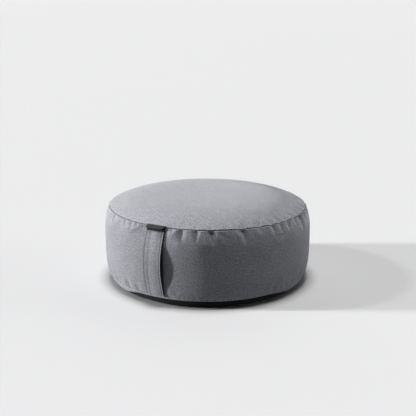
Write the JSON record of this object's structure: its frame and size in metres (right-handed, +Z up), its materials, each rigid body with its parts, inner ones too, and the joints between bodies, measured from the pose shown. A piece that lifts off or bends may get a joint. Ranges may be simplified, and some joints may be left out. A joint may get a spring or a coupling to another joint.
{
  "type": "zafu meditation cushion",
  "caption": "Round filled floor cushion with a crowned top, a gathered side band, a strap handle sewn into both seams, a bare folded tab and a non-slip base.",
  "frame": {"origin": "middle of the base's flat underside, on the floor", "axes": "+Z up through the middle of the cushion; the carry handle is on the -Y side; +X to the right of it"},
  "size_m": [0.36, 0.368, 0.15],
  "materials": {
    "cover_cloth": "matte heathered grey canvas, finely woven",
    "handle_cloth": "the same grey canvas, folded double and topstitched",
    "base_cloth": "matte black non-slip cloth",
    "tab_tape": "charcoal tape with a faint sheen, folded, bare"
  },
  "bodies": {
    "root": {"cushion": "cover_cloth", "base": "base_cloth", "carry_handle": "handle_cloth", "tab": "tab_tape"}
  },
  "joints": []
}
